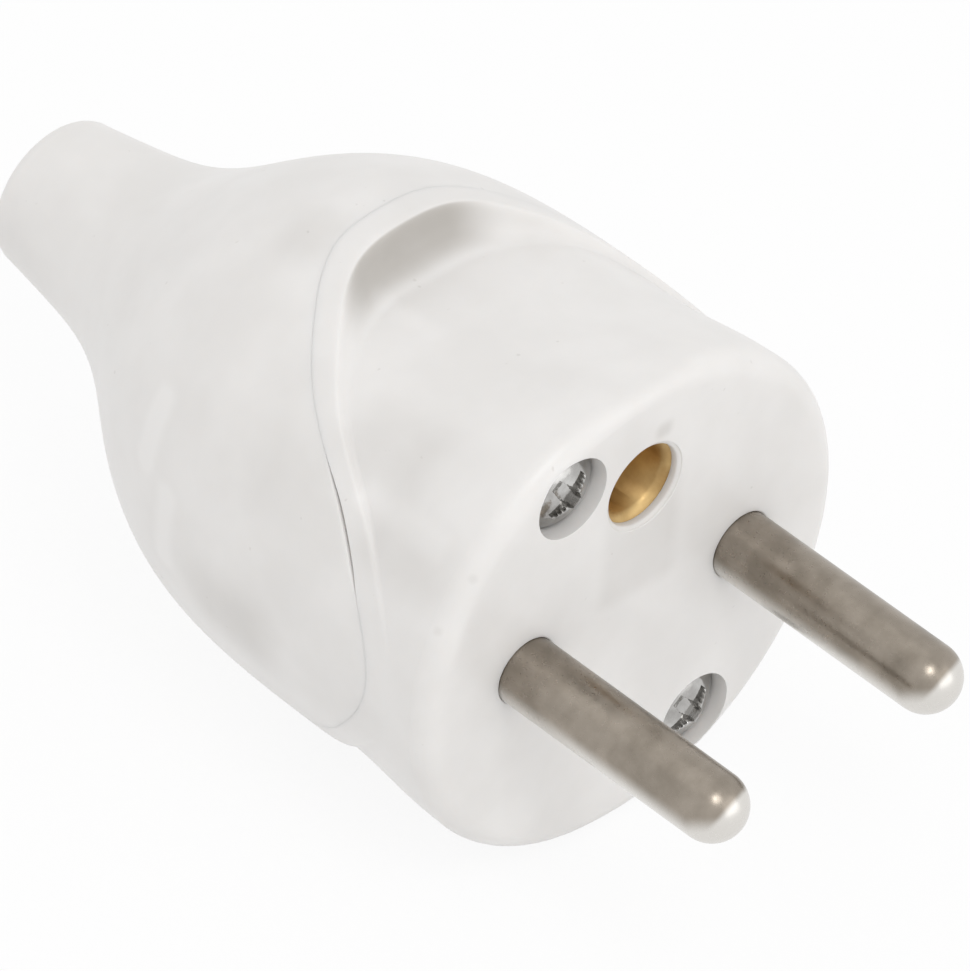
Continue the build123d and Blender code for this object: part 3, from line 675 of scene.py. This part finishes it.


# Satin nickel plate, dulled in clouds. A painted reflection of white paper makes the pins paler
# low on the near side, and low on the far side of the tip. Both directions are fixed on the part,
# so the painted reflection stays in place in every view.
low_near_side = (0.4992, -0.4156, -0.7603)
low_far_side = (0.8502, 0.2544, -0.4609)
nickel = metal(
    "nickel_plate", "#A0978C", roughness=0.3, grain=0.22, grain_depth=0.006,
    tarnish="#7A7267", tarnish_share=0.85,
    painted_reflection="#DEDBD6", sides=[(low_near_side, 0.25, 0.75), (low_far_side, 0.25, 0.45)],
)
for name, y in (("live_pin", -pin_y), ("neutral_pin", pin_y)):
    pin = make_piece(f"{name}_plated", [pin_rings((y, 0.0))])
    pin.data.materials.append(nickel)
    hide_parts(name)

# Earth sleeve
# A turned brass tube behind the earth hole, with a funnel mouth, a shoulder, and slots from its
# rear end, so that its two halves can spring. It has dulled, so its inside shows brown.
sleeve_weld_distance = 1e-7
sleeve_sharp_angle = 35.0
brass = metal(
    "turned_brass", "#CDB07C", roughness=0.45, grain=0.2, grain_depth=0.008,
    tarnish="#9C7A4C", tarnish_share=0.8,
)
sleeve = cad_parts["earth_sleeve"].copy()
sleeve.data = sleeve.data.copy()
sleeve.name = "earth_sleeve_turned"
bpy.context.scene.collection.objects.link(sleeve)
work = bmesh.new()
work.from_mesh(sleeve.data)
bmesh.ops.remove_doubles(work, verts=work.verts, dist=sleeve_weld_distance)
work.to_mesh(sleeve.data)
work.free()
sleeve.data.shade_smooth()
sleeve.data.set_sharp_from_angle(angle=np.radians(sleeve_sharp_angle))
sleeve.data.materials.clear()
sleeve.data.materials.append(brass)
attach(sleeve, "root")
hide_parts("earth_sleeve")

# Closing screws
# Two zinc-plated steel screws with a pan head and a cross recess, cold formed, nearly flush with
# the face. The head is a square sheet bent into a disc, so that its lines run along the cross.
screw_head = 2.8
screw_head_height = 1.7
screw_head_side = 0.6
screw_shank = 1.4
screw_shank_end = 11.85
screw_point = 0.35
cross_reach = 1.65
cross_width = 0.75
cross_flare = 0.3
cross_depth = 1.2
cross_wall = 0.14
cross_slope = 0.45
cross_turn = np.radians(40)
sheet_side = 121
dome_drop = screw_head_height - screw_head_side
dome_radius = (screw_head**2 + dome_drop**2) / (2 * dome_drop)


def screw_top(centre):
    """Cap of a sphere with a cross sunk into it, deepest in the middle; and its rim as a loop."""
    spread = np.linspace(-1, 1, sheet_side)
    u, v = np.meshgrid(spread, spread, indexing="ij")
    across_u = u * np.sqrt(1 - v**2 / 2) * screw_head
    across_v = v * np.sqrt(1 - u**2 / 2) * screw_head
    radius = np.minimum(np.hypot(across_u, across_v), screw_head)
    half_width = cross_width / 2 + cross_flare * np.maximum(1 - radius / cross_reach, 0)
    arm_u = np.maximum(np.abs(u) * screw_head - cross_reach, np.abs(v) * screw_head - half_width)
    arm_v = np.maximum(np.abs(v) * screw_head - cross_reach, np.abs(u) * screw_head - half_width)
    inside = smooth_step(0.5 - np.minimum(arm_u, arm_v) / cross_wall)
    dome = dome_radius - np.sqrt(dome_radius**2 - radius**2)
    sink = cross_depth * np.clip(1 - cross_slope * radius / cross_reach, 0, 1)
    depth = counterbore_depth - screw_head_height + dome + sink * inside
    angle = np.arctan2(across_v, across_u) + cross_turn
    grid = round_rings(depth, radius, angle, centre)
    loop = np.concatenate([grid[0, :-1], grid[:-1, -1], grid[-1, :0:-1], grid[:0:-1, 0]])
    spot = np.arange(sheet_side * sheet_side).reshape(sheet_side, sheet_side)
    a, b, c, d = spot[:-1, :-1], spot[1:, :-1], spot[1:, 1:], spot[:-1, 1:]
    halves = ((a, b, c), (a, c, d))
    triangles = np.concatenate([np.stack(t, axis=-1).reshape(-1, 3) for t in halves])
    return grid.reshape(-1, 3), triangles, loop


def screw_rings(centre, loop):
    """Edge and underside of the head, and a plain shank with a point, from the rim inwards."""
    angle = np.arctan2(loop[:, 2] - centre[1], loop[:, 1] - centre[0])
    profile = [
        (counterbore_depth, screw_head), (counterbore_depth, screw_shank),
        (screw_shank_end - screw_shank, screw_shank), (screw_shank_end, screw_point),
        (screw_shank_end, 0.0),
    ]
    rings = round_rings(*np.array(profile).T[:, :, None], angle, centre)
    return np.concatenate([loop[None], rings])


zinc = metal(
    "zinc_plate", "#CBCAC8", roughness=0.16, grain=0.5, grain_depth=0.06,
    tarnish="#76736F", tarnish_share=0.9,
)
for name, side in (("upper", 1), ("lower", -1)):
    centre = (side * closing_y, side * closing_z)
    corners, triangles, loop = screw_top(centre)
    screw = make_piece(
        f"closing_screw_{name}_head", [screw_rings(centre, loop)], [(corners, triangles)]
    )
    screw.data.materials.append(zinc)
    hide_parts(f"closing_screw_{name}")

# Contacts and screws inside
# The strap and the terminal block are stamped and milled brass, the ring round the sleeve is
# spring steel, and the small cheese-head screws are zinc plated like the closing screws.


def give_finish(finish, *names):
    """Gives one material to CAD nodes that are shown as they are."""
    for name in names:
        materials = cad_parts[name].data.materials
        materials.clear()
        materials.append(finish)


spring_steel = metal(
    "spring_steel", "#8D8F92", roughness=0.3, grain=0.2, grain_depth=0.003,
    tarnish="#5F5C58", tarnish_share=0.5,
)
give_finish(brass, "earth_strap", "earth_terminal_block")
give_finish(spring_steel, "earth_spring_ring")
give_finish(zinc, "live_terminal_screw", "neutral_terminal_screw", "earth_terminal_screw")
give_finish(zinc, "carrier_screw", "cord_clamp_screw_left", "cord_clamp_screw_right")

# Carrier, cord clamp and lamp
# Moulded and dipped small pieces: white nylon for the carrier and the clamp bar, a resin board,
# a lacquered resistor, a black diode, a diffused lamp lens, and brown and blue lead insulation.
mottle_detail = 4.0
mottle_from, mottle_to = 0.4, 0.7
moulded_gloss_spread = 0.2


def moulded(name, code, worn_code, roughness, speckle, share):
    """Plastic, lacquer or resin: soft specks of a second shade, and an uneven gloss."""
    material, tree, place, _ = new_material(name)
    speck = add_node(tree, "TexNoise", {
        "Vector": place, "Scale": metre / speckle, "Detail": mottle_detail,
    })
    amount = add_node(tree, "MapRange", {
        "Value": speck.outputs["Fac"], "From Min": mottle_from, "From Max": mottle_to,
        "To Max": share,
    })
    tint = add_node(
        tree, "Mix", {0: amount.outputs[0], 6: colour(code), 7: colour(worn_code)}, data_type="RGBA"
    )
    gloss = add_node(tree, "MapRange", {
        "Value": speck.outputs["Fac"], "To Min": roughness * (1 - moulded_gloss_spread),
        "To Max": roughness * (1 + moulded_gloss_spread),
    })
    shader = add_node(tree, "BsdfPrincipled", {
        "Base Color": tint.outputs[2], "Roughness": gloss.outputs[0], "IOR": plastic_ior,
    })
    add_node(tree, "OutputMaterial", {"Surface": shader.outputs[0]})
    return material


# Nodes, and the finish's name, colour, worn colour, roughness, and its specks' size and share
for names, finish in (
    (("contact_carrier", "cord_clamp_bar"), ("white_nylon", "#E6E4DF", "#D2CFC8", 0.45, 1.5, 0.4)),
    (("lamp_board",), ("resin_board", "#C3A766", "#9C7F45", 0.5, 0.5, 0.6)),
    (("indicator_led",), ("diffused_lens", "#E9E7DC", "#CFCBB9", 0.15, 0.8, 0.3)),
    (("dropper_resistor",), ("resistor_lacquer", "#C9AC7A", "#A9854F", 0.3, 0.4, 0.4)),
    (("rectifier_diode",), ("diode_epoxy", "#1E1D1C", "#33302D", 0.4, 0.3, 0.4)),
    (("live_lamp_lead",), ("brown_insulation", "#5C3A22", "#452A18", 0.4, 0.5, 0.4)),
    (("neutral_lamp_lead",), ("blue_insulation", "#2E62A8", "#234C86", 0.4, 0.5, 0.4)),
):
    give_finish(moulded(*finish), *names)

# Floor, background and light
# A white floor and a white surround, which gives most of the light, with three weak soft lamps:
# one above and behind, one in front of the face, and a small one for the glints on the pin tips.
floor_size = 3.0
floor_level = cad_low.z
floor = bpy.data.objects.new("floor", bpy.data.meshes.new("floor"))
half = floor_size / 2
floor_corners = [(-half, -half), (half, -half), (half, half), (-half, half)]
floor.data.from_pydata([(*corner, floor_level) for corner in floor_corners], [], [(0, 1, 2, 3)])
bpy.context.scene.collection.objects.link(floor)


def seen_directly(tree):
    """1 for what the camera sees, also in gloss and through glass; 0 for light on the object."""
    path = add_node(tree, "LightPath", {})
    either = add_node(tree, "Math", {
        0: path.outputs["Is Camera Ray"], 1: path.outputs["Is Glossy Ray"],
    }, operation="MAXIMUM")
    return add_node(tree, "Math", {
        0: either.outputs[0], 1: path.outputs["Is Transmission Ray"],
    }, operation="MAXIMUM").outputs[0]


floor_white = 0.9
shadow_keep = 0.1
floor_material, floor_tree, _, _ = new_material("floor_paper")
paper = add_node(floor_tree, "BsdfDiffuse", {
    "Color": (floor_white, floor_white, floor_white, 1.0),
})
glow = add_node(floor_tree, "Emission", {"Strength": 1.0})
lift = add_node(
    floor_tree, "Math", {0: seen_directly(floor_tree), 1: 1 - shadow_keep}, operation="MULTIPLY"
)
floor_mix = add_node(
    floor_tree, "MixShader", {0: lift.outputs[0], 1: paper.outputs[0], 2: glow.outputs[0]}
)
add_node(floor_tree, "OutputMaterial", {"Surface": floor_mix.outputs[0]})
floor.data.materials.append(floor_material)

surround_light = 0.83
world = bpy.data.worlds.new("studio")
world.use_nodes = True
world.node_tree.nodes.clear()
world_tree = world.node_tree
level = add_node(
    world_tree, "MapRange", {"Value": seen_directly(world_tree), "To Min": surround_light}
)
surround = add_node(
    world_tree, "Background", {"Color": (1, 1, 1, 1), "Strength": level.outputs[0]}
)
add_node(world_tree, "OutputWorld", {"Surface": surround.outputs[0]})
bpy.context.scene.world = world


def soft_lamp(name, direction, distance, size, power):
    """Square lamp in a direction from the object, facing it; distance and size in metres."""
    lamp = bpy.data.objects.new(name, bpy.data.lights.new(name, "AREA"))
    bpy.context.scene.collection.objects.link(lamp)
    lamp.data.size = size
    lamp.data.energy = power
    toward = Vector(direction).normalized()
    turn = toward.to_track_quat("Z", "Y").to_matrix().to_4x4()
    lamp.matrix_world = Matrix.Translation(toward * distance) @ turn


soft_lamp("key_lamp", (-0.52, -0.1, 0.85), distance=0.7, size=0.7, power=0.25)
soft_lamp("fill_lamp", (0.9, 0.3, 0.35), distance=0.8, size=0.7, power=0.9)
soft_lamp("spot_lamp", (0.47, -0.23, 0.85), distance=0.6, size=0.2, power=0.6)
